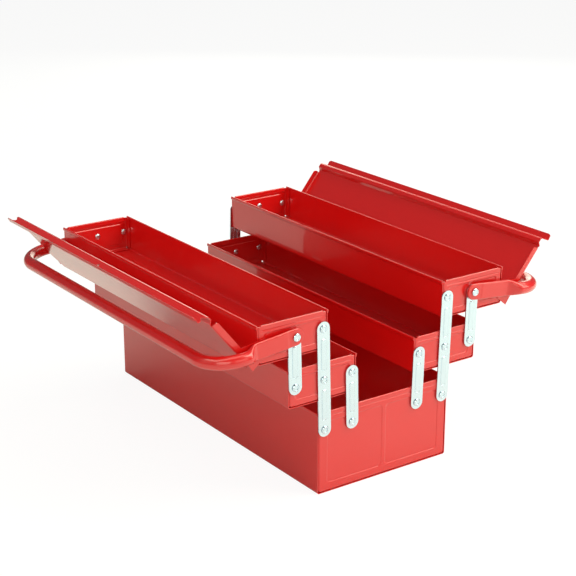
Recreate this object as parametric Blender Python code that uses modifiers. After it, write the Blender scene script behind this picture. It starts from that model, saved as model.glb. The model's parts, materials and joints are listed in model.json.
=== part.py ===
"""Five-tray cantilever toolbox of folded and riveted sheet steel, standing open.

Units are metres, +Z is up, the origin is the middle of the base's underside. The length runs
along X (near end at +X), the trays spread to the left (-Y) and to the right (+Y). Each side is
drawn once, for the right and for the near end, and mirrored.
"""
import math

import bmesh
import bpy
from mathutils import Matrix, Vector

# ---- driving dimensions ----------------------------------------------------------------
LENGTH = 0.470            # over the end walls
BASE_WIDTH = 0.200
BASE_HEIGHT = 0.106
TRAY_WIDTH = 0.098
TRAY_HEIGHT = 0.048
SHEET = 0.0010            # sheet thickness of trays and lids
FIT_GAP = 0.00035         # clearance between sheets that touch
FLANGE = 0.010            # end wall flanges, spot welded inside the long walls
HEM_DROP = 0.004          # rolled hem along the long walls
FOLD = 0.002              # radius of the folds

LINK_SPACING = 0.064      # between the rivets of a link
LINK_PITCH = 0.041        # between the rivets side by side in one wall
LINK_WIDTH = 0.018
LINK_THICK = 0.0015
RIVET_EDGE = 0.009        # outermost rivet of a wall to the wall's edge
RIVET_DROP = 0.022        # rivets below the rim of their wall
OPEN_LEAN = math.radians(1.5)

SHAFT_RADIUS = 0.0024
HOLE_RADIUS = 0.0028
HEAD_RADIUS = 0.0048
HEAD_HEIGHT = 0.0017
TAIL_RADIUS = 0.0036
TAIL_HEIGHT = 0.0014
RIVET_SIDES = 8

LID_LEAN = math.radians(39.0)     # open lid, from the vertical
LID_CORNER = (0.0077, -0.0043)    # its lower edge: outside the tray wall, below the tray floor
LID_PANEL = 0.0875                # lower edge to the step of the rim
LID_FLANGE = 0.0085
LID_FLANGE_TOP = 0.0845
LID_PIVOT_IN = 0.009              # lid rivet, in from the tray's outer wall
LID_PIVOT_UP = 0.024              # and up from the tray's underside
LID_EAR_RADIUS = 0.008
LID_CHAMFER = (0.013, 0.024)      # cut off the panel's lower corners, along X and up the panel
LID_FOLD = 0.0012                 # the fold between panel and flange, taken off as a chamfer

TUBE_RADIUS = 0.008
HANDLE_REACH = 0.113              # rivet to the middle of the grip
HANDLE_BEND = 0.040
HANDLE_DROOP = math.radians(6.0)  # open handle, below the horizontal
ARM_OFFSET = 0.0115               # tube axis outside the end wall
EAR_THICK = 0.0035
EAR_RADIUS = 0.0105
FLAT_LENGTH = 0.050
TAPER_END = 0.064

END = LENGTH / 2
LINK_INNER = END + 0.0004
LINK_OUTER = LINK_INNER + LINK_THICK
EAR_INNER = END + 0.0030
EAR_OUTER = EAR_INNER + EAR_THICK
LID_END = END + 0.0014

MODEL = "cantilever_toolbox"


def new_scene():
    for obj in list(bpy.data.objects):
        bpy.data.objects.remove(obj, do_unlink=True)
    made = {}
    for name in (MODEL, "cutters"):
        made[name] = bpy.data.collections.new(name)
        bpy.context.scene.collection.children.link(made[name])
    return made


def material(name, colour, roughness, metallic=0.0):
    mat = bpy.data.materials.new(name)
    mat.use_nodes = True
    shader = mat.node_tree.nodes["Principled BSDF"]
    shader.inputs["Base Color"].default_value = (*colour, 1.0)
    shader.inputs["Roughness"].default_value = roughness
    shader.inputs["Metallic"].default_value = metallic
    return mat


COLLECTIONS = new_scene()
RED = material("red_powder_coat", (0.55, 0.008, 0.012), 0.25)
ZINC = material("bright_zinc", (0.80, 0.84, 0.86), 0.25, 1.0)


# ---- placing ---------------------------------------------------------------------------
def body(name, y, z):
    """An empty on a body's joint axis; the body's pieces hang from it."""
    empty = bpy.data.objects.new(name, None)
    empty.location = (0.0, y, z)
    COLLECTIONS[MODEL].objects.link(empty)
    return empty


def piece(name, mesh, mat, parent, at):
    """An object of the model whose origin is at a world position."""
    obj = bpy.data.objects.new(name, mesh)
    mesh.materials.clear()
    mesh.materials.append(mat)
    obj.parent = parent
    obj.location = Vector(at) - parent.location
    COLLECTIONS[MODEL].objects.link(obj)
    return obj


def flipped(mesh, x=1, y=1):
    """A mirrored copy of a mesh whose faces still point out."""
    copy = mesh.copy()
    copy.transform(Matrix.Diagonal((x, y, 1, 1)))
    if x * y < 0:
        copy.flip_normals()
    return copy


# ---- shapes ----------------------------------------------------------------------------
def arc(cx, cy, radius, start, stop, steps):
    """Points round part of a circle, angles in degrees."""
    angles = [math.radians(start + (stop - start) * i / steps) for i in range(steps + 1)]
    return [(cx + radius * math.cos(a), cy + radius * math.sin(a)) for a in angles]


def circle(cx, cy, radius):
    return arc(cx, cy, radius, 0, 360 * (1 - 1 / RIVET_SIDES), RIVET_SIDES - 1)


def strip(path, thickness):
    """The closed outline of a sheet of even thickness along an open path."""
    sides = ([], [])
    for i, point in enumerate(path):
        here = Vector(point)
        ahead = Vector(path[min(i + 1, len(path) - 1)]) - here
        behind = here - Vector(path[max(i - 1, 0)])
        first = (behind if behind.length else ahead).normalized()
        last = (ahead if ahead.length else behind).normalized()
        normal = (Vector((-first.y, first.x)) + Vector((-last.y, last.x))).normalized()
        reach = thickness / 2 / normal.dot(Vector((-first.y, first.x)))
        sides[0].append(tuple(here + normal * reach))
        sides[1].append(tuple(here - normal * reach))
    return sides[0] + sides[1][::-1]


def extruded(outlines, start, stop):
    """A mesh of flat (y, z) outlines, the first solid and the others holes, from x to x."""
    curve = bpy.data.curves.new("outline", "CURVE")
    curve.dimensions = "2D"
    curve.fill_mode = "BOTH"
    curve.extrude = abs(stop - start) / 2
    for outline in outlines:
        spline = curve.splines.new("POLY")
        spline.points.add(len(outline) - 1)
        for point, (y, z) in zip(spline.points, outline):
            point.co = (y, z, 0.0, 1.0)
        spline.use_cyclic_u = True
    guide = bpy.data.objects.new("outline", curve)
    COLLECTIONS["cutters"].objects.link(guide)
    guide.matrix_world = (Matrix.Translation(((start + stop) / 2, 0, 0))
                          @ Matrix.Rotation(math.pi / 2, 4, "Z") @ Matrix.Rotation(math.pi / 2, 4, "X"))
    bpy.context.view_layer.update()
    mesh = bpy.data.meshes.new_from_object(guide.evaluated_get(bpy.context.evaluated_depsgraph_get()))
    mesh.transform(guide.matrix_world)
    bpy.data.objects.remove(guide, do_unlink=True)
    bpy.data.curves.remove(curve)
    weld(mesh)
    return mesh


def weld(mesh):
    bm = bmesh.new()
    bm.from_mesh(mesh)
    bmesh.ops.remove_doubles(bm, verts=bm.verts, dist=1e-6)
    bmesh.ops.recalc_face_normals(bm, faces=bm.faces)
    bm.to_mesh(mesh)
    bm.free()


def turned(profile):
    """A solid of revolution about X, from a profile of (x, radius) points, outermost x first."""
    mesh = bpy.data.meshes.new("turned")
    points = [(radius, 0.0, x) for x, radius in profile]
    mesh.from_pydata(points, [(i, i + 1) for i in range(len(points) - 1)], [])
    guide = bpy.data.objects.new("turned", mesh)
    COLLECTIONS["cutters"].objects.link(guide)
    screw = guide.modifiers.new("turn", "SCREW")
    screw.steps = screw.render_steps = RIVET_SIDES
    screw.use_merge_vertices = True
    screw.merge_threshold = 1e-6
    bpy.context.view_layer.update()
    solid = bpy.data.meshes.new_from_object(guide.evaluated_get(bpy.context.evaluated_depsgraph_get()))
    solid.transform(Matrix.Rotation(math.pi / 2, 4, "Y"))
    bpy.data.objects.remove(guide, do_unlink=True)
    bpy.data.meshes.remove(mesh)
    weld(solid)
    return solid


def combined(mesh, others, operation):
    """The union or difference of a mesh with others, all in one frame."""
    objects = []
    for part in [mesh, *others]:
        obj = bpy.data.objects.new("cutter", part)
        obj.hide_render = True
        obj.display_type = "WIRE"
        COLLECTIONS["cutters"].objects.link(obj)
        objects.append(obj)
    for other in objects[1:]:
        boolean = objects[0].modifiers.new(operation.lower(), "BOOLEAN")
        boolean.operation = operation
        boolean.solver = "EXACT"
        boolean.object = other
    bpy.context.view_layer.update()
    graph = bpy.context.evaluated_depsgraph_get()
    result = bpy.data.meshes.new_from_object(objects[0].evaluated_get(graph))
    for obj in objects:
        bpy.data.objects.remove(obj, do_unlink=True)
    return result


# ---- trays -----------------------------------------------------------------------------
def trough_mesh(width, height):
    """Floor and long walls in one sheet: rounded folds below, a hem rolled outwards above."""
    wall = width / 2 - SHEET / 2
    half = [(wall + 0.0014, height - HEM_DROP), (wall + 0.0014, height - 0.0012),
            (wall + 0.0007, height - SHEET / 2), (wall, height - 0.0012)]
    half += arc(wall - FOLD, FOLD + SHEET / 2, FOLD, 0, -90, 3)
    path = half + [(-y, z) for y, z in half[::-1]]
    return extruded([strip(path, SHEET)], -END + 0.0002, END - 0.0002)


def end_wall_mesh(width, height, holes):
    """A near end wall: a pan with side and bottom flanges, open above and inside."""
    half = width / 2 - SHEET - FIT_GAP
    bottom = SHEET + FIT_GAP
    top = height - 0.0003
    bm = bmesh.new()
    bmesh.ops.create_cube(bm, size=1.0)
    bmesh.ops.scale(bm, verts=bm.verts, vec=(FLANGE, 2 * half, top - bottom))
    bmesh.ops.translate(bm, verts=bm.verts, vec=(END - FLANGE / 2, 0, (top + bottom) / 2))
    open_faces = [f for f in bm.faces if f.normal.x < -0.5 or f.normal.z > 0.5]
    bmesh.ops.delete(bm, geom=open_faces, context="FACES")
    folds = [e for e in bm.edges if len(e.link_faces) == 2]
    bmesh.ops.bevel(bm, geom=folds, offset=FOLD, segments=2, profile=0.5, affect="EDGES")
    mesh = bpy.data.meshes.new("end_wall")
    bm.to_mesh(mesh)
    bm.free()
    guide = bpy.data.objects.new("end_wall", mesh)
    COLLECTIONS["cutters"].objects.link(guide)
    solidify = guide.modifiers.new("sheet", "SOLIDIFY")
    solidify.thickness = SHEET
    solidify.offset = -1
    solidify.use_even_offset = True
    bpy.context.view_layer.update()
    shell = bpy.data.meshes.new_from_object(guide.evaluated_get(bpy.context.evaluated_depsgraph_get()))
    bpy.data.objects.remove(guide, do_unlink=True)
    drills = [extruded([circle(y, z, HOLE_RADIUS)], END - 0.005, END + 0.005) for y, z in holes]
    return combined(shell, drills, "DIFFERENCE")


# ---- links and rivets --------------------------------------------------------------------
def link_mesh(spacings):
    """A flat link with round ends, from its lowest rivet up, leaning as the open box does."""
    r = LINK_WIDTH / 2
    outline = arc(0, spacings * LINK_SPACING, r, 0, 180, 6) + arc(0, 0, r, 180, 360, 6)
    holes = [circle(0, i * LINK_SPACING, HOLE_RADIUS) for i in range(spacings + 1)]
    mesh = extruded([outline, *holes], LINK_INNER, LINK_OUTER)
    mesh.transform(Matrix.Rotation(-OPEN_LEAN, 4, "X"))
    return mesh


def rivet_mesh(seat, spacer=None):
    """A rivet through the end wall, its domed head on the seat; a spacer fills a gap behind an ear."""
    tail = END - SHEET - FIT_GAP
    head = [(seat + HEAD_HEIGHT, 0.0), (seat + HEAD_HEIGHT, HEAD_RADIUS * 0.55),
            (seat + HEAD_HEIGHT * 0.6, HEAD_RADIUS), (seat, HEAD_RADIUS), (seat, SHAFT_RADIUS)]
    collar = []
    if spacer:
        collar = [(spacer[1], SHAFT_RADIUS), (spacer[1], TAIL_RADIUS),
                  (spacer[0], TAIL_RADIUS), (spacer[0], SHAFT_RADIUS)]
    foot = [(tail, SHAFT_RADIUS), (tail, TAIL_RADIUS), (tail - TAIL_HEIGHT, TAIL_RADIUS * 0.7),
            (tail - TAIL_HEIGHT, 0.0)]
    return turned(head + collar + foot)


# ---- lid ---------------------------------------------------------------------------------
def lid_frame():
    """The lid's rivet in the lid's own (u, v): u up the panel, v towards its inner side."""
    along = Vector((math.sin(LID_LEAN), math.cos(LID_LEAN)))
    inward = Vector((-along.y, along.x))
    pivot = Vector((-LID_PIVOT_IN, LID_PIVOT_UP)) - Vector(LID_CORNER)
    return pivot.dot(along), pivot.dot(inward)


def lid_mesh():
    """A folded lid about its rivet: panel, stepped rim with its lip, end flanges with their ears."""
    pu, pv = lid_frame()
    t = SHEET
    rim = LID_PANEL
    path = [(0.0045, 2.4 * t), (0.0012, 2.4 * t), (0.0005, 1.5 * t), (0.0015, t / 2), (rim - 0.001, t / 2)]
    path += [(rim + 0.0035, 0.0048), (rim + 0.0075, 0.0048), (rim + 0.0098, 0.0035)]
    path += [(rim + 0.0125, -0.0065), (rim + 0.0137, -0.0078), (rim + 0.0215, -0.0072)]
    panel = extruded([strip(path, t)], -LID_END + 0.0004, LID_END - 0.0004)
    cut_x, cut_u = LID_CHAMFER
    corner = [(-0.001, LID_END - cut_x), (cut_u, LID_END), (cut_u, LID_END + 0.01), (-0.001, LID_END + 0.01)]
    cutter = extruded([corner], -0.01, 0.01)
    cutter.transform(Matrix.Rotation(math.pi / 2, 4, "Y"))
    panel = combined(panel, [cutter, flipped(cutter, x=-1)], "DIFFERENCE")
    ear = [(0.0, t / 4), (0.0, 0.018)] + arc(pu, pv, LID_EAR_RADIUS, 215, 35, 7)
    ear += [(0.034, LID_FLANGE)]
    top = arc(LID_FLANGE_TOP - 0.005, LID_FLANGE - 0.005, 0.005, 90, 0, 3) + [(LID_FLANGE_TOP, t / 4)]
    flange = extruded([ear + top], LID_END - SHEET, LID_END)
    seat = LID_END - 0.0003
    stub = rivet_mesh(seat)
    stub.transform(Matrix.Translation((0, pu, pv)))
    others = [flange, flipped(flange, x=-1), stub, flipped(stub, x=-1)]
    mesh = combined(panel, others, "UNION")
    beyond = 0.001
    bevel = [(-LID_END + LID_FOLD + beyond, -beyond), (-LID_END - beyond, -beyond),
             (-LID_END - beyond, LID_FOLD + beyond)]
    plane = extruded([bevel], -0.002, LID_FLANGE_TOP + beyond)
    plane.transform(Matrix.Rotation(math.pi / 2, 4, "Z"))
    mesh = combined(mesh, [plane, flipped(plane, x=-1)], "DIFFERENCE")
    mesh.transform(Matrix.Translation((0, -pu, -pv)))
    return mesh


# ---- handle ------------------------------------------------------------------------------
def blend(value, start, stop):
    t = min(max((value - start) / (stop - start), 0.0), 1.0)
    return t * t * (3 - 2 * t)


def handle_mesh():
    """A bent tube about its rivets: arms squeezed flat to ears, reaching out along +Y."""
    axis = END + ARM_OFFSET
    straight = HANDLE_REACH - HANDLE_BEND
    r = EAR_RADIUS
    reach = [-0.97 * r, -0.8 * r, -0.45 * r, 0.0, 0.02, FLAT_LENGTH, 0.0545, 0.059, TAPER_END]
    half = [(axis, y) for y in reach]
    half += arc(axis - HANDLE_BEND, straight, HANDLE_BEND, 0, 90, 7)
    path = half + [(-x, y) for x, y in half[::-1]]
    curve = bpy.data.curves.new("tube", "CURVE")
    curve.dimensions = "3D"
    curve.bevel_depth = TUBE_RADIUS
    curve.bevel_resolution = 4
    curve.use_fill_caps = True
    spline = curve.splines.new("POLY")
    spline.points.add(len(path) - 1)
    for point, (x, y) in zip(spline.points, path):
        point.co = (x, y, 0.0, 1.0)
    guide = bpy.data.objects.new("tube", curve)
    COLLECTIONS["cutters"].objects.link(guide)
    bpy.context.view_layer.update()
    mesh = bpy.data.meshes.new_from_object(guide.evaluated_get(bpy.context.evaluated_depsgraph_get()))
    bpy.data.objects.remove(guide, do_unlink=True)
    bpy.data.curves.remove(curve)
    weld(mesh)
    for vertex in mesh.vertices:
        side = math.copysign(1.0, vertex.co.x)
        y = vertex.co.y
        if y > TAPER_END + 1e-6:
            continue
        flat = 1 - blend(y, FLAT_LENGTH, TAPER_END)
        across = (abs(vertex.co.x) - axis) / TUBE_RADIUS
        up = vertex.co.z / TUBE_RADIUS
        power = 1 - 0.75 * flat
        across = math.copysign(abs(across) ** power, across)
        up = math.copysign(abs(up) ** power, up)
        ear_height = math.sqrt(max(r * r - min(y, 0.0) ** 2, 0.0))
        centre = flat * (EAR_INNER + EAR_THICK / 2) + (1 - flat) * axis
        depth = flat * EAR_THICK / 2 + (1 - flat) * TUBE_RADIUS
        height = flat * ear_height + (1 - flat) * TUBE_RADIUS
        vertex.co.x = side * (centre + depth * across)
        vertex.co.z = height * up
    drill = extruded([circle(0, 0, HOLE_RADIUS)], EAR_INNER - 0.002, EAR_OUTER + 0.002)
    return combined(mesh, [drill, flipped(drill, x=-1)], "DIFFERENCE")


# ---- assembly ----------------------------------------------------------------------------
class Side:
    """Where the right side's rivets, trays and joints lie when the box stands open."""
    step = Vector((math.sin(OPEN_LEAN), math.cos(OPEN_LEAN))) * LINK_SPACING
    pitch = Vector((LINK_PITCH, 0.0))
    p0 = Vector((BASE_WIDTH / 2 - RIVET_EDGE, BASE_HEIGHT - RIVET_DROP))
    q0 = p0 - pitch
    p1 = p0 + step
    q1 = q0 + step
    r1 = p1 + pitch
    p2 = p1 + step
    r2 = r1 + step
    lower_edge = r1.x + RIVET_EDGE
    upper_edge = lower_edge + step.x + LINK_PITCH
    lower_floor = r1.y - (TRAY_HEIGHT - RIVET_DROP)
    upper_floor = r2.y - (TRAY_HEIGHT - RIVET_DROP)
    lid = Vector((upper_edge - LID_PIVOT_IN, upper_floor + LID_PIVOT_UP))


def add_tray(prefix, width, height, holes, parent, centre, floor):
    """A trough and its two end walls; holes are on the right side of the wall, y from the centre."""
    side = -1 if centre < 0 else 1
    piece(prefix + "_trough", trough_mesh(width, height), RED, parent, (0, centre, floor))
    wall = end_wall_mesh(width, height, holes)
    if side < 0:
        wall = flipped(wall, y=-1)
    piece(prefix + "_end_near", wall, RED, parent, (0, centre, floor))
    piece(prefix + "_end_far", flipped(wall, x=-1), RED, parent, (0, centre, floor))


def add_pair(name, mesh, mat, parent, at, side):
    """The near piece and its copy at the far end."""
    near = flipped(mesh, y=side)
    piece(name + "_near", near, mat, parent, (0, side * at.x, at.y))
    piece(name + "_far", flipped(near, x=-1), mat, parent, (0, side * at.x, at.y))


def add_base():
    root = body("base", 0.0, 0.0)
    holes = [(side * at.x, at.y) for side in (1, -1) for at in (Side.p0, Side.q0)]
    add_tray("base", BASE_WIDTH, BASE_HEIGHT, holes, root, 0.0, 0.0)
    return root


def add_side(word, side, root):
    rivet = rivet_mesh(LINK_OUTER + FIT_GAP)
    handle_rivet = rivet_mesh(EAR_OUTER + FIT_GAP, (LINK_OUTER + FIT_GAP, EAR_INNER - FIT_GAP))
    long_link, short_link = link_mesh(2), link_mesh(1)

    def frame(name, at):
        return body(word + "_" + name, side * at.x, at.y)

    links = frame("long_links", Side.p0)
    inner = frame("inner_links", Side.q0)
    lower = frame("lower_tray", Side.p1)
    outer = frame("outer_links", Side.r1)
    upper = frame("upper_tray", Side.p2)
    add_pair(word + "_long_link", long_link, ZINC, links, Side.p0, side)
    add_pair(word + "_inner_link", short_link, ZINC, inner, Side.q0, side)
    add_pair(word + "_outer_link", short_link, ZINC, outer, Side.r1, side)

    for level, tray, edge, floor, pins in (
            ("lower", lower, Side.lower_edge, Side.lower_floor, (Side.p1, Side.q1, Side.r1)),
            ("upper", upper, Side.upper_edge, Side.upper_floor, (Side.p2, Side.r2, Side.lid))):
        centre = edge - TRAY_WIDTH / 2
        holes = [(pin.x - centre, pin.y - floor) for pin in pins]
        add_tray(word + "_" + level, TRAY_WIDTH, TRAY_HEIGHT, holes, tray, side * centre, floor)

    add_pair(word + "_base_outer_rivet", rivet, ZINC, root, Side.p0, side)
    add_pair(word + "_base_inner_rivet", rivet, ZINC, root, Side.q0, side)
    add_pair(word + "_lower_middle_rivet", rivet, ZINC, lower, Side.p1, side)
    add_pair(word + "_lower_inner_rivet", rivet, ZINC, lower, Side.q1, side)
    add_pair(word + "_lower_outer_rivet", rivet, ZINC, lower, Side.r1, side)
    add_pair(word + "_upper_rivet", rivet, ZINC, upper, Side.p2, side)
    add_pair(word + "_handle_rivet", handle_rivet, ZINC, upper, Side.r2, side)

    lid = frame("lid", Side.lid)
    lid_piece = piece(word + "_lid_panel", flipped(lid_mesh(), y=side), RED, lid,
                      (0, side * Side.lid.x, Side.lid.y))
    lid_piece.rotation_euler.x = side * (math.pi / 2 - LID_LEAN)
    handle = frame("handle", Side.r2)
    grip = piece(word + "_handle_tube", flipped(handle_mesh(), y=side), RED, handle,
                 (0, side * Side.r2.x, Side.r2.y))
    grip.rotation_euler.x = -side * HANDLE_DROOP


ROOT = add_base()
add_side("left", -1, ROOT)
add_side("right", 1, ROOT)
bpy.context.view_layer.update()
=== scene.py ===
import json

import bmesh
import bpy
import numpy as np
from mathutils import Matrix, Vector


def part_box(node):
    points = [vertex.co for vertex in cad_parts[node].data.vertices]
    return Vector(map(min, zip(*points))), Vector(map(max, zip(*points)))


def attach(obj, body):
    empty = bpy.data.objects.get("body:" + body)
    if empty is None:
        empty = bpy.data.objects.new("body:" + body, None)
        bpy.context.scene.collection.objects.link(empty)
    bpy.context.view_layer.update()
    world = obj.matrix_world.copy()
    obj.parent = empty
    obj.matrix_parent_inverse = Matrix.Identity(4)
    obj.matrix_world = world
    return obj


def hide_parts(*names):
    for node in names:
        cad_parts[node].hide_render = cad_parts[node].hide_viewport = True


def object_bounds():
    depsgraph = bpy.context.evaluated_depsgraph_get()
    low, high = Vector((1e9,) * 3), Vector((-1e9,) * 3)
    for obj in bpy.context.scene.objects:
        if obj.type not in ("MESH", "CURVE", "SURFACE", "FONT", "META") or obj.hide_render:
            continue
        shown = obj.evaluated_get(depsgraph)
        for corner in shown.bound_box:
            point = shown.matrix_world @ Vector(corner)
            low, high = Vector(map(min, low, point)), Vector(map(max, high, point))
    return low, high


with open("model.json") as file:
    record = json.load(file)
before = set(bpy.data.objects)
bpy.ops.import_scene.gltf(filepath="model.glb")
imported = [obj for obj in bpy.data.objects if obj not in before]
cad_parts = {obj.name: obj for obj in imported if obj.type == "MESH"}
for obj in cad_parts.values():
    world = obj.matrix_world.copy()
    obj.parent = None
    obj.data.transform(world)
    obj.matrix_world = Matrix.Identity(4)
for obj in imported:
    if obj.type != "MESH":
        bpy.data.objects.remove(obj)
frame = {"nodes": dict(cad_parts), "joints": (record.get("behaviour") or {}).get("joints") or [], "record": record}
cadBox = [list(corner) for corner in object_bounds()]
print("frame loaded:", len(frame["nodes"]), "nodes")

jointAt = {joint["name"]: np.array(joint["pos_m"]) for joint in frame["joints"]}
bodyOf = {node: body for body, nodes in frame["record"]["behaviour"]["bodies"].items() for node in nodes}
slotOf = {row["node"]: row["material_slot"] for row in frame["record"]["subparts"]}


# camera, light and floor

shot = {
    "place": (1.5098, -1.0421, 0.8117),
    "forward": (-0.7722, 0.5445, -0.3274),
    "lens": 91.9, "film": 36.0,
}
studio = {
    "air": 0.14,                # soft light from all round
    "white": 1.06,              # what the camera sees behind the object
    "warm": (1.0, 0.99, 0.82),
    "away": 2.6, "size": 1.4,   # every light's distance and width
    "aimHeight": 0.1,           # the height of the point that they all face
    # degrees round from +X, degrees up, and watts
    "lights": ((0, 22, 8.0), (45, 22, 20.0), (315, 22, 15.0), (270, 22, 3.0), (140, 19, 15.0),
               (45, 50, 34.0), (90, 50, 12.0), (270, 60, 17.0), (0, 88, 10.0)),
    "shadowShare": 0.14,        # how much of the floor's own shading the camera sees
    "floor": (0.86, 0.86, 0.86), "floorRoughness": 0.9,
    "floorReach": 6.0, "floorGap": 0.0002,
}


def aimedAt(obj, place, target):
    # puts a light or camera at place, looking along the line to target
    obj.location = place
    obj.rotation_euler = (Vector(target) - Vector(place)).to_track_quat("-Z", "Y").to_euler()


def softbox(around, above, power):
    # a square light on a sphere round the object: around and above are its angles in degrees
    light = bpy.data.lights.new("softbox", "AREA")
    light.shape = "SQUARE"
    light.size = studio["size"]
    light.energy = power
    light.color = studio["warm"]
    obj = bpy.data.objects.new("softbox", light)
    bpy.context.scene.collection.objects.link(obj)
    a, b = np.radians((around, above))
    middle = Vector((0.0, 0.0, studio["aimHeight"]))
    outward = Vector((np.cos(a) * np.cos(b), np.sin(a) * np.cos(b), np.sin(b)))
    aimedAt(obj, middle + studio["away"] * outward, middle)


def joinSeen(tree, real, seen, output, share):
    # the light that falls on things comes from real, and what the camera sees is share of seen
    path = tree.nodes.new("ShaderNodeLightPath")
    part = tree.nodes.new("ShaderNodeMath")
    part.operation = "MULTIPLY"
    part.inputs[1].default_value = share
    mix = tree.nodes.new("ShaderNodeMixShader")
    tree.links.new(path.outputs["Is Camera Ray"], part.inputs[0])
    tree.links.new(part.outputs[0], mix.inputs["Fac"])
    tree.links.new(real.outputs[0], mix.inputs[1])
    tree.links.new(seen.outputs[0], mix.inputs[2])
    tree.links.new(mix.outputs[0], output.inputs["Surface"])


def setStudio():
    scene = bpy.context.scene
    scene.view_settings.view_transform = "Standard"
    camera = bpy.data.objects.new("camera", bpy.data.cameras.new("camera"))
    camera.data.lens = shot["lens"]
    camera.data.sensor_width = shot["film"]
    scene.collection.objects.link(camera)
    aimedAt(camera, shot["place"], Vector(shot["place"]) + Vector(shot["forward"]))
    scene.camera = camera

    world = bpy.data.worlds.new("studioAir")
    world.use_nodes = True
    air = world.node_tree.nodes["Background"]
    air.inputs["Color"].default_value = (1.0, 1.0, 1.0, 1.0)
    air.inputs["Strength"].default_value = studio["air"]
    backdrop = world.node_tree.nodes.new("ShaderNodeBackground")
    backdrop.inputs["Color"].default_value = (1.0, 1.0, 1.0, 1.0)
    backdrop.inputs["Strength"].default_value = studio["white"]
    joinSeen(world.node_tree, air, backdrop, world.node_tree.nodes["World Output"], 1.0)
    scene.world = world
    for light in studio["lights"]:
        softbox(*light)

    reach = studio["floorReach"]
    mesh = bpy.data.meshes.new("floor")
    mesh.from_pydata([(-reach, -reach, 0), (reach, -reach, 0), (reach, reach, 0), (-reach, reach, 0)],
                     [], [(0, 1, 2, 3)])
    floor = bpy.data.objects.new("floor", mesh)
    floor.location.z = cadBox[0][2] - studio["floorGap"]
    scene.collection.objects.link(floor)
    paper = bpy.data.materials.new("floorPaper")
    paper.use_nodes = True
    shader = paper.node_tree.nodes["Principled BSDF"]
    shader.inputs["Base Color"].default_value = (*studio["floor"], 1.0)
    shader.inputs["Roughness"].default_value = studio["floorRoughness"]
    glow = paper.node_tree.nodes.new("ShaderNodeEmission")
    glow.inputs["Strength"].default_value = studio["white"]
    joinSeen(paper.node_tree, shader, glow, paper.node_tree.nodes["Material Output"],
             1.0 - studio["shadowShare"])
    mesh.materials.append(paper)


setStudio()
print("studio set")


# finishes

paint = {
    "colour": (0.630, 0.0030, 0.0032), "thinColour": (0.660, 0.0038, 0.0042),
    "roughness": 0.33, "drift": 0.05, "cloudScale": 9.0,
    "coat": 0.90, "coatRoughness": 0.05,
    "peelScale": 420.0, "peelHeight": 0.00004,
}
plate = {
    "colour": (0.67, 0.80, 0.90), "dullColour": (0.64, 0.77, 0.87),
    "roughness": 0.26, "drift": 0.04, "cloudScale": 60.0,
    "grainScale": 900.0, "grainHeight": 0.000002, "grainStretch": (1.0, 1.0, 0.15),
}
clouds = {"wideDetail": 3.0, "fineScale": 160.0, "fineDetail": 2.0, "reliefDetail": 2.0}


def socketGroup(name, inputs, outputs):
    # a shader node group with named sockets: (name, kind, value) for each input, and (name, kind) for
    # each output
    group = bpy.data.node_groups.new(name, "ShaderNodeTree")
    for label, kind, value in inputs:
        socket = group.interface.new_socket(label, in_out="INPUT", socket_type="NodeSocket" + kind)
        socket.default_value = value
    for label, kind in outputs:
        group.interface.new_socket(label, in_out="OUTPUT", socket_type="NodeSocket" + kind)
    return group, group.nodes.new("NodeGroupInput"), group.nodes.new("NodeGroupOutput")


def toneGroup():
    # Color drifts between two colours, and Roughness round its middle, with two sizes of cloud
    group, given, made = socketGroup(
        "surfaceTone",
        [("Color A", "Color", (1, 1, 1, 1)), ("Color B", "Color", (1, 1, 1, 1)),
         ("Scale", "Float", 10.0), ("Roughness", "Float", 0.3), ("Drift", "Float", 0.04)],
        [("Color", "Color"), ("Roughness", "Float")])
    nodes, links = group.nodes, group.links
    place = nodes.new("ShaderNodeTexCoord")
    wide = nodes.new("ShaderNodeTexNoise")
    wide.inputs["Detail"].default_value = clouds["wideDetail"]
    links.new(place.outputs["Object"], wide.inputs["Vector"])
    links.new(given.outputs["Scale"], wide.inputs["Scale"])
    mix = nodes.new("ShaderNodeMix")
    mix.data_type = "RGBA"
    links.new(wide.outputs["Fac"], mix.inputs[0])
    links.new(given.outputs["Color A"], mix.inputs[6])
    links.new(given.outputs["Color B"], mix.inputs[7])
    fine = nodes.new("ShaderNodeTexNoise")
    fine.inputs["Scale"].default_value = clouds["fineScale"]
    fine.inputs["Detail"].default_value = clouds["fineDetail"]
    links.new(place.outputs["Object"], fine.inputs["Vector"])
    centred = nodes.new("ShaderNodeMath")
    centred.operation = "SUBTRACT"
    centred.inputs[1].default_value = 0.5
    links.new(fine.outputs["Fac"], centred.inputs[0])
    spread = nodes.new("ShaderNodeMath")
    spread.operation = "MULTIPLY_ADD"
    links.new(centred.outputs[0], spread.inputs[0])
    links.new(given.outputs["Drift"], spread.inputs[1])
    links.new(given.outputs["Roughness"], spread.inputs[2])
    links.new(mix.outputs[2], made.inputs["Color"])
    links.new(spread.outputs[0], made.inputs["Roughness"])
    return group


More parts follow.
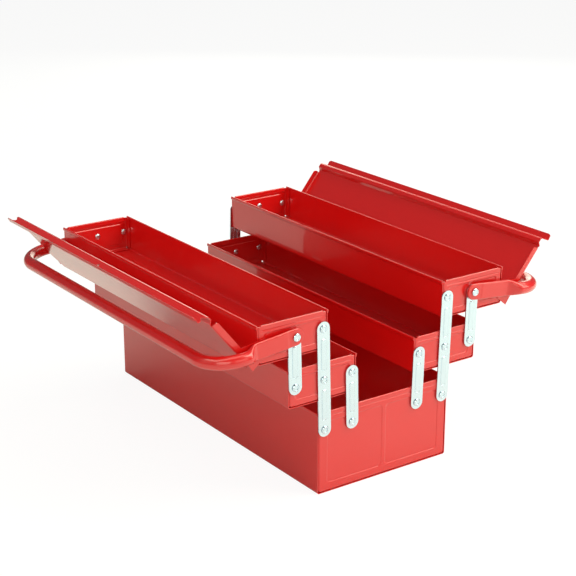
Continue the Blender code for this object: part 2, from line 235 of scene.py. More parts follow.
def reliefGroup():
    # Normal is the surface's own, rippled by noise of a given scale and height in metres
    group, given, made = socketGroup(
        "fineRelief",
        [("Scale", "Float", 400.0), ("Height", "Float", 0.0001), ("Stretch", "Vector", (1, 1, 1))],
        [("Normal", "Vector")])
    nodes, links = group.nodes, group.links
    place = nodes.new("ShaderNodeTexCoord")
    stretch = nodes.new("ShaderNodeVectorMath")
    stretch.operation = "MULTIPLY"
    links.new(place.outputs["Object"], stretch.inputs[0])
    links.new(given.outputs["Stretch"], stretch.inputs[1])
    noise = nodes.new("ShaderNodeTexNoise")
    noise.inputs["Detail"].default_value = clouds["reliefDetail"]
    links.new(stretch.outputs[0], noise.inputs["Vector"])
    links.new(given.outputs["Scale"], noise.inputs["Scale"])
    height = nodes.new("ShaderNodeMath")
    height.operation = "MULTIPLY"
    links.new(noise.outputs["Fac"], height.inputs[0])
    links.new(given.outputs["Height"], height.inputs[1])
    bump = nodes.new("ShaderNodeBump")
    bump.inputs["Distance"].default_value = 1.0
    links.new(height.outputs[0], bump.inputs["Height"])
    links.new(bump.outputs["Normal"], made.inputs["Normal"])
    return group


tone = toneGroup()
relief = reliefGroup()


def placed(nodes, group, **values):
    # one use of a node group, with its own values; an underscore in a name stands for a space
    node = nodes.new("ShaderNodeGroup")
    node.node_tree = group
    for label, value in values.items():
        node.inputs[label.replace("_", " ")].default_value = value
    return node


def redPaint():
    # a smooth gloss powder coat: a saturated base, a thin clear top and a faint orange peel
    material = bpy.data.materials.new("redPowderCoat")
    material.use_nodes = True
    nodes, links = material.node_tree.nodes, material.node_tree.links
    shader = nodes["Principled BSDF"]
    shader.inputs["Coat Weight"].default_value = paint["coat"]
    shader.inputs["Coat Roughness"].default_value = paint["coatRoughness"]
    shade = placed(nodes, tone, Color_A=(*paint["colour"], 1), Color_B=(*paint["thinColour"], 1),
                   Scale=paint["cloudScale"], Roughness=paint["roughness"], Drift=paint["drift"])
    ripple = placed(nodes, relief, Scale=paint["peelScale"], Height=paint["peelHeight"])
    links.new(shade.outputs["Color"], shader.inputs["Base Color"])
    links.new(shade.outputs["Roughness"], shader.inputs["Roughness"])
    links.new(ripple.outputs["Normal"], shader.inputs["Normal"])
    return material


def brightZinc():
    # bright zinc plate with a slightly blue passivation and a fine rolled grain
    material = bpy.data.materials.new("brightZinc")
    material.use_nodes = True
    nodes, links = material.node_tree.nodes, material.node_tree.links
    shader = nodes["Principled BSDF"]
    shader.inputs["Metallic"].default_value = 1.0
    shade = placed(nodes, tone, Color_A=(*plate["colour"], 1), Color_B=(*plate["dullColour"], 1),
                   Scale=plate["cloudScale"], Roughness=plate["roughness"], Drift=plate["drift"])
    ripple = placed(nodes, relief, Scale=plate["grainScale"], Height=plate["grainHeight"],
                    Stretch=plate["grainStretch"])
    links.new(shade.outputs["Color"], shader.inputs["Base Color"])
    links.new(shade.outputs["Roughness"], shader.inputs["Roughness"])
    links.new(ripple.outputs["Normal"], shader.inputs["Normal"])
    return material


finishes = {"red_paint": redPaint(), "zinc": brightZinc()}
for node, obj in frame["nodes"].items():
    obj.data.materials.clear()
    obj.data.materials.append(finishes[slotOf[node]])
print("finishes made")


# shapes

mending = {
    "merge": 2e-6,          # points closer than this are one
    "tooShort": 1e-7,       # edges shorter than this are taken out
    "flush": 1e-5,          # how near to a plane a point counts as lying on it
    "straight": 1e-4,       # a turn under this angle is left as it is
}
edge = {"radius": 0.0002, "segments": 2, "sharpest": 50.0}


def roundedPath(corners, radii, steps=6):
    # a polyline in a plane whose inner corners are arcs: an arc of radius r over a turn of angle a
    # starts r tan(a/2) before its corner and ends as far behind it
    corners = np.array(corners, float)
    runs = [corners[:1]]
    for before, here, after, radius in zip(corners[:-2], corners[1:-1], corners[2:], radii):
        back = (before - here) / np.linalg.norm(before - here)
        ahead = (after - here) / np.linalg.norm(after - here)
        turn = np.pi - np.arccos(np.clip(back @ ahead, -1, 1))
        if turn < mending["straight"]:
            runs.append(here[None])
            continue
        reach = radius * np.tan(turn / 2)
        middle = here + (back + ahead) / np.linalg.norm(back + ahead) * radius / np.cos(turn / 2)
        first, last = here + back * reach - middle, here + ahead * reach - middle
        t = np.linspace(0, 1, steps + 1)[:, None]
        runs.append(middle + (np.sin((1 - t) * turn) * first + np.sin(t * turn) * last) / np.sin(turn))
    runs.append(corners[-1:])
    return np.concatenate(runs)


def lengthsAlong(path):
    # each point's distance from the path's start, along the path
    return np.concatenate([[0.0], np.cumsum(np.linalg.norm(np.diff(path, axis=0), axis=1))])


def refined(path, step, keepOff=0.35):
    # the same path with further points on its long straight runs, about a step apart; a new point
    # nearer than keepOff steps to an old one is left out
    length = lengthsAlong(path)
    extra = np.arange(step, length[-1], step)
    nearest = np.abs(extra[:, None] - length[None, :]).min(1)
    places = np.sort(np.concatenate([length, extra[nearest > keepOff * step]]))
    return np.stack([np.interp(places, length, path[:, k]) for k in range(path.shape[1])], -1)


def smooth(value, low, high):
    # 0 below low, 1 above high, and 3 t^2 - 2 t^3 between them
    t = np.clip((value - low) / (high - low), 0, 1)
    return t * t * (3 - 2 * t)


def insideRounded(a, b, halfA, halfB, corner):
    # how far a point lies inside a rectangle with rounded corners: the corner's radius less the
    # distance past the corner's centre, less the lesser overshoot inside; below zero it's outside
    qa, qb = np.abs(a) - halfA + corner, np.abs(b) - halfB + corner
    return corner - np.hypot(np.maximum(qa, 0), np.maximum(qb, 0)) - np.minimum(np.maximum(qa, qb), 0)


def netFaces(rows, columns, start, wrap=False):
    # quads that join each point of a net to its neighbours along both directions
    index = np.arange(rows * columns).reshape(rows, columns) + start
    if wrap:
        index = np.concatenate([index, index[:, :1]], 1)
    return np.stack([index[:-1, :-1], index[:-1, 1:], index[1:, 1:], index[1:, :-1]], -1).reshape(-1, 4)


def addPiece(name, nets, node, slot=None, thick=0.0, bevel=0.0, wrap=False, cut=None):
    # joins the nets to one mesh, merges what they share, and gives it the node's body and finish;
    # thick makes a sheet of it, bevel rounds its edges, wrap closes each net on itself, and cut marks
    # the points of the first net that a hole takes away
    start, faces = 0, []
    for net in nets:
        quads = netFaces(net.shape[0], net.shape[1], start, wrap)
        if cut is not None and start == 0:
            quads = quads[~cut.ravel()[quads].any(1)]
        faces.append(quads)
        start += net.shape[0] * net.shape[1]
    mesh = bpy.data.meshes.new(name)
    mesh.from_pydata(np.concatenate([net.reshape(-1, 3) for net in nets]).tolist(), [],
                     np.concatenate(faces).tolist())
    bm = bmesh.new()
    bm.from_mesh(mesh)
    bmesh.ops.remove_doubles(bm, verts=bm.verts, dist=mending["merge"])
    bmesh.ops.dissolve_degenerate(bm, edges=bm.edges, dist=mending["tooShort"])
    loose = [point for point in bm.verts if not point.link_faces]
    bmesh.ops.delete(bm, geom=loose, context="VERTS")
    bmesh.ops.recalc_face_normals(bm, faces=bm.faces)
    bm.to_mesh(mesh)
    bm.free()
    mesh.shade_smooth()
    obj = bpy.data.objects.new(name, mesh)
    bpy.context.scene.collection.objects.link(obj)
    if thick:
        sheet = obj.modifiers.new("sheet", "SOLIDIFY")
        sheet.thickness = thick
        sheet.offset = 0.0
    if bevel:
        rounded = obj.modifiers.new("edge", "BEVEL")
        rounded.width = bevel
        rounded.segments = edge["segments"]
        rounded.limit_method = "ANGLE"
        rounded.angle_limit = np.radians(edge["sharpest"])
        rounded.harden_normals = True
    slot = slot or slotOf[node]
    mesh.materials.append(finishes[slot])
    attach(obj, bodyOf[node])
    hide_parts(node)


def spanOf(node):
    # the two corners of a CAD node's box
    low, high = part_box(node)
    return np.array(low), np.array(high)


def middleOf(node):
    # the middle of a CAD node's box
    low, high = spanOf(node)
    return (low + high) / 2


# pans: floor and long walls of the base and the trays

pan = {
    "sheet": 0.0009, "cadSheet": 0.0010, "fold": 0.0024, "topGap": 0.0002,
    "hemOut": 0.0014, "hemDrop": 0.0042, "hemRadius": 0.00068,
    "lipOut": 0.0006, "lipRise": 0.0008, "lipRadius": 0.0005,   # the hem's free edge
    "weldIn": 0.0050, "weldDrops": (0.0085, 0.0150), "weldRise": 0.011,
    "weldSize": 0.0017, "weldDepth": 0.00018,
    "floorLine": 0.00030, "floorLineSize": 0.0012, "floorLinesAt": (0.30, -0.30),
    "floorLineFade": (0.012, 0.020),                            # measured from each end
    "step": 0.0016,                                             # between points of a section
    "endReach": 0.012, "endStep": 0.0007, "middleStep": 0.006,  # between sections
}


def panNet(node):
    # the cross-section (rolled hem, wall, fold, floor, mirrored) carried along X; each weld pushes the
    # wall in by a bell of weldDepth, each floor line lifts the floor by a ridge of floorLine
    low, high = spanOf(node)
    middle, top = (low[1] + high[1]) / 2, high[2] - pan["topGap"]
    wall = (high[1] - low[1]) / 2 - pan["hemOut"] - pan["cadSheet"] / 2
    floor = low[2] + pan["cadSheet"] / 2
    out = wall + pan["hemOut"]
    crown = top - pan["cadSheet"] / 2
    half = roundedPath(
        [(wall + pan["lipOut"], top - pan["hemDrop"]), (out, top - pan["hemDrop"] + pan["lipRise"]),
         (out, crown), (wall, crown), (wall, floor), (0.0, floor)],
        [pan["lipRadius"], pan["hemRadius"], pan["hemRadius"], pan["fold"]])
    half = refined(half, pan["step"])
    profile = np.concatenate([half, half[-2::-1] * [-1, 1]])
    end = high[0]
    inFrom = np.concatenate([np.arange(0, pan["endReach"], pan["endStep"]),
                             np.arange(pan["endReach"], end, pan["middleStep"]), [end]])
    x = np.unique(np.round(np.concatenate([end - inFrom, inFrom - end]), 7))
    across, up = profile[:, :1], profile[:, 1:]
    flush = mending["flush"]
    onWall = (np.abs(across) > wall - flush) & (np.abs(across) < wall + flush)
    press = 0.0
    for drop in [*pan["weldDrops"], top - low[2] - pan["weldRise"]]:
        away = np.hypot(np.abs(x)[None, :] - (end - pan["weldIn"]), up - (top - drop))
        press = press + pan["weldDepth"] * np.exp(-(away / pan["weldSize"]) ** 2)
    y = across - np.sign(across) * press * onWall
    ridge = sum(np.exp(-((across - share * 2 * wall) / pan["floorLineSize"]) ** 2)
                for share in pan["floorLinesAt"])
    fade = smooth(end - np.abs(x)[None, :], *pan["floorLineFade"])
    lift = pan["floorLine"] * ridge * (np.abs(up - floor) < flush) * fade
    return np.stack([np.broadcast_to(x[None, :], y.shape), middle + y, up + lift], -1)


# end walls, with flanges inside the long walls

endWall = {
    "sheet": 0.0009, "cadSheet": 0.0010, "fold": 0.0018, "innerFold": 0.99, "flangeIn": 0.0100,
    "underTrough": 0.0006,                      # from the long walls' top down to the end wall's
    "hemDrop": 0.0058, "hemShort": 0.0026, "hemRadius": 0.0006, "hemIn": 0.0013, "hemStart": 0.0014,
    "grooveDrop": 0.0066, "grooveDepth": 0.00045, "grooveSize": 0.0007, "grooveFade": (-0.001, 0.002),
    "pressDepth": 0.0006, "pressCorner": 0.0045, "pressSlope": 0.0012, "pressLower": 0.0005,
    "trayInset": 0.0075, "trayDrop": 0.0095,    # from a pressing to the wall's sides and top
    "baseInset": 0.0100, "baseDrop": 0.0125, "baseGap": 0.0022,
    "step": 0.0018, "floorShort": 0.001,
    "slopeLines": (-0.4, 1.4, 7),               # close lines where a pressing slopes, as shares of it
    "grooveLines": (-2, 2, 9),                  # and across the groove, as shares of its size
}


def endWallNets(node, pressings, top):
    # the wall and its side flanges are one path in plan carried up Z; the floor flange and the folded
    # hem are paths in side view carried along Y. A pressing sinks by pressDepth over pressSlope
    # inside its rounded rectangle, and the groove under the hem is a bell
    e = endWall
    low, high = spanOf(node)
    end = 1 if high[0] > 0 else -1
    face = max(abs(low[0]), abs(high[0])) - e["cadSheet"] / 2
    middle, half = (low[1] + high[1]) / 2, (high[1] - low[1]) / 2 - e["cadSheet"] / 2
    bottom = low[2] + e["cadSheet"] / 2
    inner = face - e["flangeIn"] + e["cadSheet"]
    plan = roundedPath([(inner, half), (face, half), (face, -half), (inner, -half)], [e["fold"], e["fold"]])
    at = lengthsAlong(plan)
    spread = e["pressSlope"] * np.linspace(*e["slopeLines"])
    slopesY = np.array([centre + side * (halfWide - spread)
                        for centre, _, halfWide, _ in pressings for side in (-1, 1)])
    slopesZ = np.array([bottom + rise + side * (halfTall - spread)
                        for _, rise, _, halfTall in pressings for side in (-1, 1)])
    places = np.concatenate([at, np.arange(e["step"], at[-1], e["step"]), (at[-1] / 2 - slopesY).ravel()])
    places = np.unique(np.round(places, 6))
    plan = np.stack([np.interp(places, at, plan[:, j]) for j in (0, 1)], -1)
    firstRow, lastRow = bottom + e["fold"], top - e["hemStart"]
    z = np.concatenate([np.linspace(firstRow, lastRow, int((lastRow - firstRow) / e["step"]) + 1),
                        slopesZ.ravel(),
                        top - e["grooveDrop"] + e["grooveSize"] * np.linspace(*e["grooveLines"])])
    z = np.unique(np.round(z[(z >= firstRow) & (z <= lastRow)], 6))
    x = np.broadcast_to(plan[None, :, 0], (z.size, plan.shape[0]))
    y = np.broadcast_to(plan[None, :, 1], x.shape)
    onFace = x > face - mending["flush"]
    sink = 0.0
    for centre, rise, halfWide, halfTall in pressings:
        depth = insideRounded(y - centre, z[:, None] - (bottom + rise), halfWide, halfTall, e["pressCorner"])
        sink = sink + e["pressDepth"] * smooth(depth, 0, e["pressSlope"])
    hemHalf = half - e["hemShort"]
    groove = e["grooveDepth"] * np.exp(-((z[:, None] - top + e["grooveDrop"]) / e["grooveSize"]) ** 2)
    sink = sink + groove * smooth(hemHalf - np.abs(y), *e["grooveFade"])
    weld = 0.0
    for drop in [*pan["weldDrops"], top - bottom - pan["weldRise"]]:
        away = np.hypot(x - (face + e["cadSheet"] / 2 - pan["weldIn"]), z[:, None] - (top - drop))
        weld = weld + pan["weldDepth"] * np.exp(-(away / pan["weldSize"]) ** 2)
    onFlange = np.abs(np.abs(y) - half) < mending["flush"]
    wall = np.stack([x - sink * onFace, y + np.sign(y) * weld * onFlange,
                     np.broadcast_to(z[:, None], x.shape)], -1)

    def carried(path, columns):
        # a path of (x, z) points repeated at the wall's own columns
        run = wall[0, columns, 1]
        rows = np.broadcast_to(path[:, None, :], (path.shape[0], run.size, 2))
        return np.stack([rows[..., 0], np.broadcast_to(run[None], rows.shape[:2]), rows[..., 1]], -1)

    floorColumns = np.flatnonzero(onFace[0] & (np.abs(plan[:, 1]) < half - e["floorShort"]))
    floorPath = refined(roundedPath([(inner, bottom), (face, bottom), (face, firstRow)],
                                    [e["fold"] * e["innerFold"]]), e["step"])
    hemColumns = np.flatnonzero(onFace[0] & (np.abs(plan[:, 1]) < hemHalf))
    crown = top - e["cadSheet"] / 2
    hemPath = refined(roundedPath(
        [(face, lastRow), (face, crown), (face - e["hemIn"], crown),
         (face - e["hemIn"], top - e["hemDrop"])],
        [e["hemRadius"], e["hemRadius"]]), e["step"])
    nets = [wall, carried(floorPath, floorColumns), carried(hemPath, hemColumns)]
    return [net * [end, 1, 1] + [0, middle, 0] for net in nets]


def pressingsOf(node):
    # each pressed panel's middle across and up the end wall, and half its width and height: one panel
    # in a tray's end wall and two side by side in the base's
    e = endWall
    low, high = spanOf(node)
    wide, tall = high[1] - low[1], high[2] - low[2]
    onBase = node.startswith("base")
    inset, drop = (e["baseInset"], e["baseDrop"]) if onBase else (e["trayInset"], e["trayDrop"])
    halfTall = (tall - inset - drop) / 2
    rise = inset + halfTall - e["pressLower"]
    if not onBase:
        return [(0.0, rise, wide / 2 - inset, halfTall)]
    halfWide = wide / 4 - inset / 2 - e["baseGap"]
    return [(side * (halfWide + e["baseGap"]), rise, halfWide, halfTall) for side in (-1, 1)]


for prefix in ("base", "left_lower", "right_lower", "left_upper", "right_upper"):
    trough = prefix + "_trough"
    addPiece(prefix + "_pan", [panNet(trough)], trough, thick=pan["sheet"], bevel=edge["radius"])
    for end in ("near", "far"):
        node = prefix + "_end_" + end
        nets = endWallNets(node, pressingsOf(node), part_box(trough)[1][2] - endWall["underTrough"])
        addPiece(prefix + "_end_wall_" + end, nets, node, thick=endWall["sheet"], bevel=edge["radius"])
print("base and trays made")


# links

link = {
    "width": 0.0178, "thick": 0.0014, "edge": 0.00025,
    "ribHalfLength": 0.0190, "ribHalfWidth": 0.0032, "ribHeight": 0.0006, "ribSlope": 0.0008,
    "ribCorner": 0.5,                               # as a share of the rib's half width
    "grooveDepth": 0.0008, "grooveSize": 0.0004, "grooveOut": 0.0001,
    "step": 0.0014, "roundSteps": 17, "across": 21,
    "slopeLines": (-1.0, 1.1, 13),                  # close lines round the rib, as shares of its slope
}


def linkNet(node, rivets):
    # a strip with round ends: half its width at a place is the round end's chord; a rib between two
    # rivets rises by ribHeight over ribSlope inside its own rounded outline, with a groove round it
    # whose section is a bell of grooveDepth and grooveSize
    low, high = spanOf(node)
    centres = np.array([middleOf(rivet)[1:] for rivet in rivets])
    along = (centres[-1] - centres[0]) / np.linalg.norm(centres[-1] - centres[0])
    aside = np.array([along[1], -along[0]])
    long = np.linalg.norm(centres[-1] - centres[0])
    radius = link["width"] / 2
    swing = np.linspace(0, np.pi / 2, link["roundSteps"])
    gap = long / (len(rivets) - 1)
    slope = link["ribSlope"] * np.linspace(*link["slopeLines"])
    ends = link["ribHalfLength"] - slope
    ribEnds = [(k + 0.5) * gap + sign * ends for k in range(len(rivets) - 1) for sign in (-1, 1)]
    place = np.concatenate([-radius * np.cos(swing), np.arange(link["step"], long, link["step"]),
                            long + radius * np.sin(swing), *ribEnds])
    place = np.unique(np.round(place, 6))
    past = np.maximum(np.maximum(-place, place - long), 0)
    chord = np.sqrt(np.maximum(radius ** 2 - past ** 2, 0))
    sides = (link["ribHalfWidth"] - slope) / radius
    share = np.concatenate([np.linspace(-1, 1, link["across"]), sides, -sides])
    share = np.unique(np.round(share, 6))
    u = np.broadcast_to(place[:, None], (place.size, share.size))
    v = chord[:, None] * share[None, :]
    rise = 0.0
    for k in range(len(rivets) - 1):
        depth = insideRounded(u - (k + 0.5) * gap, v, link["ribHalfLength"], link["ribHalfWidth"],
                              link["ribHalfWidth"] * link["ribCorner"])
        rise = rise + link["ribHeight"] * smooth(depth, 0, link["ribSlope"])
        rise = rise - link["grooveDepth"] * np.exp(-((depth + link["grooveOut"]) / link["grooveSize"]) ** 2)
    yz = centres[0] + u[..., None] * along + v[..., None] * aside
    mid = (low[0] + high[0]) / 2
    return np.concatenate([(mid + np.sign(mid) * rise)[..., None], yz], -1)


for word in ("left", "right"):
    for end in ("near", "far"):
        for kind, ends in (("long_link", ("base_outer_rivet", "lower_middle_rivet", "upper_rivet")),
                           ("inner_link", ("base_inner_rivet", "lower_inner_rivet")),
                           ("outer_link", ("lower_outer_rivet", "handle_rivet"))):
            node = f"{word}_{kind}_{end}"
            rivets = [f"{word}_{rivet}_{end}" for rivet in ends]
            addPiece(node + "_strip", [linkNet(node, rivets)], node, thick=link["thick"],
                     bevel=link["edge"])
print("links made")


# rivets

rivet = {
    "head": 0.0049, "handleHead": 0.0050, "lidHead": 0.0045,
    "dome": 0.0016, "rim": 0.0004, "crownDrop": 0.0001,
    "hollow": 0.0027, "hollowDepth": 0.0011, "handleHollow": 0.6,
    "shaft": 0.0023, "tail": 0.0042, "tailDepth": 0.0017,
    "hollowShares": (0.92, 1.08),                   # the hollow's radius at its floor and its mouth
    "headShares": (0.80, 0.97),                     # the head's radius at its crown and its seat
    "tailShares": (0.96, 0.55), "tailWaist": 0.5,   # the tail's, half way down it and at its end
    "seatIn": 0.0017, "footOut": 0.0014,            # from the two ends of the node's box
    "radii": (0.0003, 0.0005, 0.0008, 0.0004, 0.0002, 0.0001, 0.0001, 0.0003, 0.0010, 0.0020),
    "arcSteps": 5, "steps": 48,
}


def revolved(profile, centre, end):
    # a profile of (x, radius) points turned round the line through centre along X
    turn = np.linspace(0, 2 * np.pi, rivet["steps"], endpoint=False)
    x = np.broadcast_to(profile[:, :1], (profile.shape[0], turn.size))
    ring = profile[:, 1:]
    return np.stack([end * x, centre[1] + ring * np.cos(turn), centre[2] + ring * np.sin(turn)], -1)


def rivetProfile(seat, foot, headRadius, hollow):
    # (x, radius) points from the head's middle over its rounded rim, down the shank and round the
    # rolled tail, with an arc at each turn; hollow is the share of hollowDepth that the head sinks
    r = rivet
    crown = seat + r["dome"]
    sunk = crown - r["hollowDepth"] * hollow
    floorShare, mouthShare = r["hollowShares"]
    crownShare, seatShare = r["headShares"]
    waistShare, endShare = r["tailShares"]
    waist, end = foot - r["tailDepth"] * r["tailWaist"], foot - r["tailDepth"]
    head = [(sunk, 0.0), (sunk, r["hollow"] * floorShare), (crown, r["hollow"] * mouthShare),
            (crown - r["crownDrop"], headRadius * crownShare), (seat + r["rim"], headRadius),
            (seat, headRadius * seatShare), (seat, r["shaft"])]
    tail = [(foot, r["shaft"]), (foot, r["tail"]), (waist, r["tail"] * waistShare),
            (end, r["tail"] * endShare), (end, 0.0)]
    return roundedPath(head + tail, r["radii"], r["arcSteps"])


for node in [name for name in frame["nodes"] if "_rivet_" in name]:
    low, high = spanOf(node)
    end = 1 if high[0] > 0 else -1
    outer, inner = max(abs(low[0]), abs(high[0])), min(abs(low[0]), abs(high[0]))
    headRadius, hollow = rivet["head"], 1.0
    if "handle" in node:
        headRadius, hollow = rivet["handleHead"], rivet["handleHollow"]
    profile = rivetProfile(outer - rivet["seatIn"], inner + rivet["footOut"], headRadius, hollow)
    addPiece(node + "_turned", [revolved(profile, middleOf(node), end)], node, wrap=True)
print("rivets made")


# lids

lid = {
    "sheet": 0.0009, "cadSheet": 0.0010, "fold": 0.0018, "end": 0.2364, "endGap": 0.0006,
    "lean": 39.0, "pivotUp": 0.01150, "pivotIn": 0.03077,   # degrees, and the rivet from the lower edge
    "panel": 0.0875,
    # points (u, v) of the lower hem and, from the panel's top on, of the rim; then each turn's radius
    "hem": ((0.0048, 0.0024), (0.0005, 0.0024), (0.0005, 0.0005)),
    "rim": ((-0.0002, 0.0005), (0.0032, 0.0048), (0.0078, 0.0048), (0.0098, 0.0035),
            (0.0132, -0.0080), (0.0215, -0.0072)),
    "radii": (0.0009, 0.0009, 0.0007, 0.0007, 0.0008, 0.0008, 0.0012),
    "flange": 0.0085, "flangeTop": 0.0845, "flangeCorner": 0.0045, "flangeRows": 13, "footRows": 16,
    "earRadius": 0.008, "earFoot": 0.018, "earEnd": 0.034, "earTurn": (215, 35, 25),
    "foldSteps": 7, "start": 0.0002, "startLow": 0.0008,
    "cutAlong": 0.013, "cutUp": 0.024, "flatMargin": 0.0004, "topFade": 0.002,
    "lipCorner": 0.0035, "reliefAt": 0.0112, "reliefDepth": 0.0050, "reliefSize": 0.0024,
    "notchAt": 0.0115, "notchHalf": 0.0042, "notchTall": 0.0056,
    "notchLines": (-0.0040, 0.0040, 0.0004), "notchShares": (-0.025, 0.025, 33),
    "step": 0.0015, "along": 121,
    "rivetOut": 0.00002, "rivetGrip": 0.0028,
}


def lidFrame(word):
    # the lid's lower edge and its two directions (up the panel, and in) in Y and Z, from its rivet
    side = 1 if word == "right" else -1
    lean = np.radians(lid["lean"])
    up = np.array([side * np.sin(lean), np.cos(lean)])
    inward = np.array([-side * np.cos(lean), np.sin(lean)])
    pivot = jointAt[word + "_lid_close"][1:]
    return pivot - lid["pivotUp"] * up - lid["pivotIn"] * inward, up, inward


def lidNets(word, notched):
    # the panel is a cross-section (u up, v in) carried along X as far as its outline reaches at each
    # place; quarter-round folds join it to the end flanges, ruled between their two edges. The notch
    # is a triangle cut in the rim: its half width grows from 0 to notchHalf over notchTall
    k = lid
    t, rim, fold, top = k["cadSheet"], k["panel"], k["fold"], k["end"] - k["cadSheet"] / 2
    section = roundedPath([*k["hem"], *[(rim + u, v) for u, v in k["rim"]]], k["radii"])
    section = refined(section, k["step"])
    if notched:
        at = lengthsAlong(section)
        notchPlace = at[np.argmin(np.abs(section[:, 0] - rim - k["notchAt"]))]
        places = np.concatenate([at, notchPlace + np.arange(*k["notchLines"])])
        places = np.unique(np.round(places, 6))
        section = np.stack([np.interp(places, at, section[:, j]) for j in (0, 1)], -1)
    length = lengthsAlong(section)
    u = section[:, 0]
    flat = np.flatnonzero((u >= k["cutUp"] - k["flatMargin"]) & (u <= k["flangeTop"] + k["flatMargin"]))
    relief = length[np.argmin(np.abs(u - (rim + k["reliefAt"])))]
    last = length[-1]
    reach = np.interp(u, [0, k["cutUp"], k["flangeTop"], k["flangeTop"] + k["topFade"]],
                      [k["end"] - k["cutAlong"], top - fold, top - fold, k["end"] - k["endGap"]])
    reach[flat] = top - fold
    rounding = np.maximum(length - (last - k["lipCorner"]), 0)
    reach = reach - k["lipCorner"] + np.sqrt(np.maximum(k["lipCorner"] ** 2 - rounding ** 2, 0))
    reach = reach - k["reliefDepth"] * np.exp(-((length - relief) / k["reliefSize"]) ** 4)
    share = np.concatenate([np.linspace(-1, 1, k["along"]), np.linspace(*k["notchShares"]) * notched])
    share = np.unique(np.round(share, 6))
    x = reach[:, None] * share[None, :]
    v = np.broadcast_to(section[:, 1:], x.shape)
    down = length[:, None] - length[np.argmin(np.abs(u - rim - k["notchAt"]))] + k["notchTall"] / 2
    inNotch = np.minimum(k["notchHalf"] * down / k["notchTall"] - np.abs(x), k["notchTall"] - down)
    notch = (inNotch > 0) & notched
    panel = np.stack([x, np.broadcast_to(u[:, None], x.shape), v], -1)

    quarter = np.linspace(0, np.pi / 2, k["foldSteps"])
    uFlat = u[flat]
    shape = (uFlat.size, quarter.size)
    bend = np.stack([np.broadcast_to(top - fold + fold * np.sin(quarter)[None], shape),
                     np.broadcast_to(uFlat[:, None], shape),
                     np.broadcast_to(t / 2 + fold - fold * np.cos(quarter)[None], shape)], -1)
    foot = np.linspace(k["start"], uFlat[0], k["footRows"])[:-1]
    uFlange = np.concatenate([foot, uFlat])
    lowEdge = np.interp(uFlange, [0, uFlat[0]], [k["startLow"], t / 2 + fold])
    turn = np.radians(np.linspace(*k["earTurn"]))
    earArc = np.stack([k["pivotUp"] + k["earRadius"] * np.cos(turn),
                       k["pivotIn"] + k["earRadius"] * np.sin(turn)], -1)
    ear = np.concatenate([[(k["start"], k["earFoot"])], earArc, [(k["earEnd"], k["flange"])]])
    earLength = lengthsAlong(ear)
    onEar = np.clip(uFlange / k["earEnd"], 0, 1) * earLength[-1]
    corner = k["flangeCorner"]
    past = np.maximum(uFlange - (uFlat[-1] - corner), 0)
    topU = np.where(uFlange < k["earEnd"], np.interp(onEar, earLength, ear[:, 0]), uFlange)
    topV = np.where(uFlange < k["earEnd"], np.interp(onEar, earLength, ear[:, 1]),
                    k["flange"] - corner + np.sqrt(np.maximum(corner ** 2 - past ** 2, 0)))
    part = np.linspace(0, 1, k["flangeRows"])
    flangeU = uFlange[:, None] + (topU - uFlange)[:, None] * part
    flangeV = lowEdge[:, None] + (topV - lowEdge)[:, None] * part
    flange = np.stack([np.full(flangeU.shape, top), flangeU, flangeV], -1)

    origin, up, inward = lidFrame(word)
    nets = [panel, bend, bend * [-1, 1, 1], flange, flange * [-1, 1, 1]]
    return [np.concatenate([net[..., :1], origin + net[..., 1:2] * up + net[..., 2:] * inward], -1)
            for net in nets], notch


for word in ("left", "right"):
    node = word + "_lid_panel"
    nets, notch = lidNets(word, word == "left")
    addPiece(word + "_lid_sheet", nets, node, thick=lid["sheet"], bevel=edge["radius"], cut=notch)
    profile = rivetProfile(lid["end"] + lid["rivetOut"], lid["end"] - lid["rivetGrip"], rivet["lidHead"], 1.0)
    for end, sign in (("near", 1), ("far", -1)):
        addPiece(f"{word}_lid_rivet_{end}", [revolved(profile, jointAt[word + "_lid_close"], sign)],
                 node, slot="zinc", wrap=True)
print("lids made")


# handles

handle = {
    "tube": 0.008, "reach": 0.113, "bend": 0.040, "droop": 6.0,
    "axis": 0.2465,                                 # the arm's distance from the middle, along X
    "earInner": 0.2380, "ear": 0.0029, "earHalf": 0.0105,
    "flat": 0.0035, "armHalf": 0.0106,
    "stepAt": 0.0105, "stepLong": 0.0018,
    "flatEnd": 0.054, "roundAt": 0.070,
    "ringSteps": 48, "slotSteps": 33, "tipSteps": 13,
    "armLines": (0.002, 0.0005, 0.0012),            # first line, gap before the bend, and step
    "bendSteps": 25, "gripSteps": 40,
    "least": 1e-7,                                  # the smallest half width of a ring
}


def squeezedRing(halfHigh, halfThick):
    # a round-ended slot's outline, walked at an even pace: straight sides and two half circles
    quarter = np.linspace(0, np.pi / 2, handle["slotSteps"])
    flat = np.maximum(halfHigh - halfThick, 0.0)
    path = np.concatenate([[(halfThick, 0.0)],
                           np.stack([halfThick * np.cos(quarter), flat + halfThick * np.sin(quarter)], -1)])
    length = lengthsAlong(path)
    even = np.linspace(0, length[-1], handle["ringSteps"] // 4 + 1)
    first = np.stack([np.interp(even, length, path[:, 0]), np.interp(even, length, path[:, 1])], -1)
    second = first[::-1][1:] * [-1, 1]
    upper = np.concatenate([first, second])
    return np.concatenate([upper, upper[::-1][1:-1] * [1, -1]])


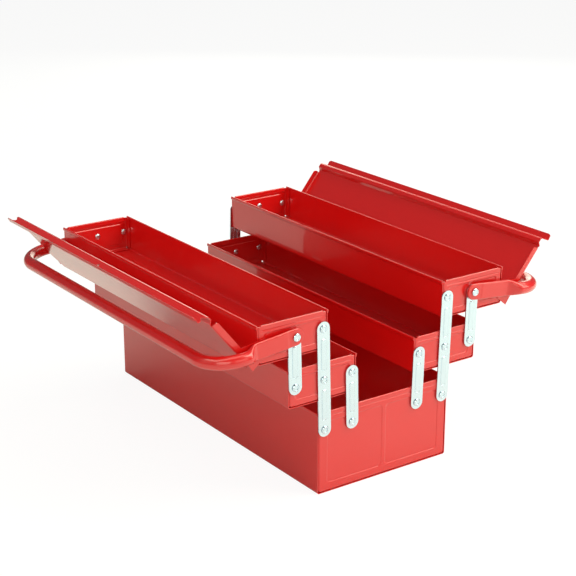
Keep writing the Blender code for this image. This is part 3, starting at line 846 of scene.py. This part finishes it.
def handleNet(word):
    # half of the tube is a ring carried from the ear's tip out along the arm, round the bend and to
    # the middle of the grip; the ring passes from a squeezed slot to a circle between flatEnd and
    # roundAt, and the other half mirrors it
    h = handle
    straight = h["reach"] - h["bend"]
    tip = -h["earHalf"] * np.cos(np.linspace(0, np.pi / 2, h["tipSteps"]))
    first, gap, step = h["armLines"]
    arm = np.concatenate([tip, np.arange(first, straight - gap, step)])
    turn = np.linspace(0, np.pi / 2, h["bendSteps"])
    y = np.concatenate([arm, straight + h["bend"] * np.sin(turn), np.full(h["gripSteps"], h["reach"])])
    gripX = np.linspace(h["axis"] - h["bend"], 0, h["gripSteps"] + 1)[1:]
    squeeze = 1 - smooth(y, h["flatEnd"], h["roundAt"])
    inStep = smooth(y, h["stepAt"], h["stepAt"] + h["stepLong"])
    halfThick = squeeze * (h["ear"] + (h["flat"] - h["ear"]) * inStep) / 2 + (1 - squeeze) * h["tube"]
    tipHalf = np.sqrt(np.maximum(h["earHalf"] ** 2 - np.minimum(y, 0) ** 2, 0))
    halfHigh = squeeze * np.where(y < 0, tipHalf, h["armHalf"]) + (1 - squeeze) * h["tube"]
    flatCentre = h["earInner"] + (h["ear"] + (h["flat"] - h["ear"]) * inStep) / 2
    armAxis = (squeeze * flatCentre + (1 - squeeze) * h["axis"])[:arm.size]
    axis = np.concatenate([armAxis, h["axis"] - h["bend"] + h["bend"] * np.cos(turn), gripX])
    angle = np.concatenate([np.zeros(arm.size), turn, np.full(h["gripSteps"], np.pi / 2)])
    rings = np.stack([squeezedRing(max(high, h["least"]), max(min(thin, high), h["least"]))
                      for thin, high in zip(halfThick, halfHigh)])
    x = axis[:, None] + rings[..., 0] * np.cos(angle)[:, None]
    out = y[:, None] + rings[..., 0] * np.sin(angle)[:, None]
    net = np.stack([x, out, rings[..., 1]], -1)
    far = net[::-1][1:] * [-1, 1, 1]
    net = np.concatenate([net, far])
    side = 1 if word == "right" else -1
    droop = np.radians(h["droop"])
    pivot = jointAt[word + "_handle_lift"]
    along = np.array([0, side * np.cos(droop), -np.sin(droop)])
    up = np.array([0, side * np.sin(droop), np.cos(droop)])
    return net[..., :1] * [1.0, 0, 0] + net[..., 1:2] * along + net[..., 2:] * up + [0, pivot[1], pivot[2]]


for word in ("left", "right"):
    addPiece(word + "_handle_bar", [handleNet(word)], word + "_handle_tube", wrap=True)
print("handles made")
